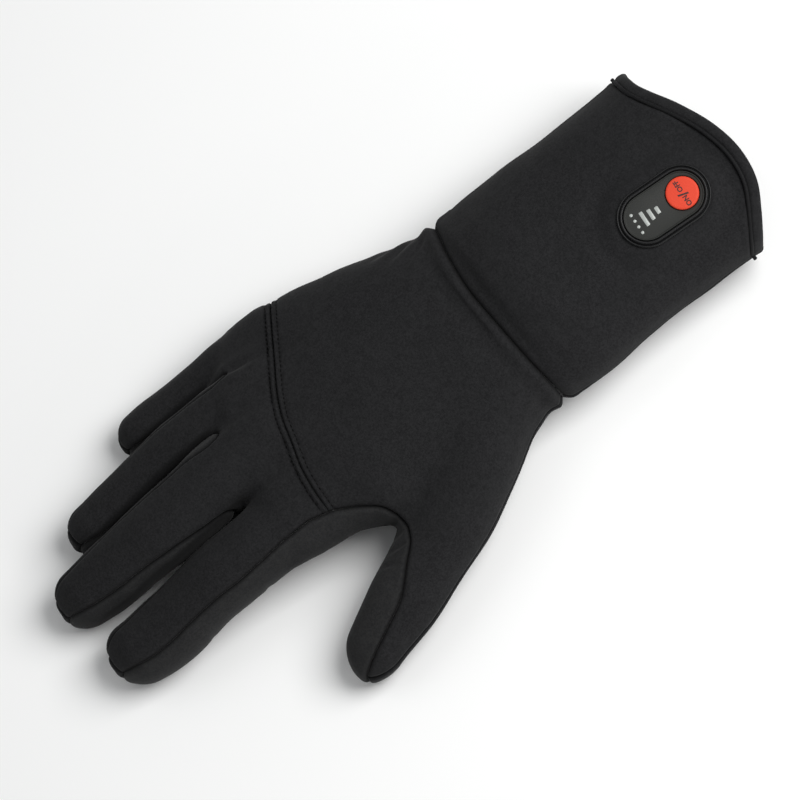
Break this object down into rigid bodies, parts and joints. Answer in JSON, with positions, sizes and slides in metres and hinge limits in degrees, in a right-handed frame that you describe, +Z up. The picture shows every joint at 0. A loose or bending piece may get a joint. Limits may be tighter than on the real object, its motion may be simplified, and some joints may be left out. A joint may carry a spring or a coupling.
{
  "type": "heated glove",
  "caption": "Hollow right-hand padded glove with side strips between the fingers, a long cuff with a curved piped hem, and a pill-shaped heating control with a press button.",
  "frame": {"origin": "centre of the bounding box in plan, on the surface that the glove lies on", "axes": "+Y along the fingers, +Z up from the surface, -X the thumb's side"},
  "size_m": [0.1448, 0.3054, 0.0502],
  "materials": {
    "softshell": "matte black padded softshell cloth",
    "side_cloth": "matte stretch cloth, a little lighter",
    "piping_cord": "smooth black piping cord",
    "bezel_rubber": "satin black moulded rubber",
    "panel_plastic": "matte dark grey plastic",
    "button_silicone": "satin red-orange button",
    "light_window": "pale translucent light window"
  },
  "bodies": {
    "glove": {"back_finger_panel": "softshell", "back_hand_panel": "softshell", "palm_panel": "softshell", "fourchette_thumb_index": "side_cloth", "fourchette_index_middle": "side_cloth", "fourchette_middle_ring": "side_cloth", "fourchette_ring_little": "side_cloth", "cuff_back": "softshell", "cuff_hem_band": "side_cloth", "cuff_palm": "softshell", "controller_bezel": "bezel_rubber", "controller_panel": "panel_plastic", "level_bar_1": "light_window", "level_bar_2": "light_window", "level_bar_3": "light_window", "led_dot_1": "light_window", "led_dot_2": "light_window", "led_dot_3": "light_window", "led_dot_4": "light_window", "cuff_piping": "piping_cord"},
    "button": {"power_button": "button_silicone"}
  },
  "joints": [
    {"name": "button_press", "type": "slide", "parent": "glove", "child": "button", "axis": [-0.2091, 0, 0.9779], "range_m": [-0.0006, 0], "stiffness_N_per_m": 800}
  ]
}
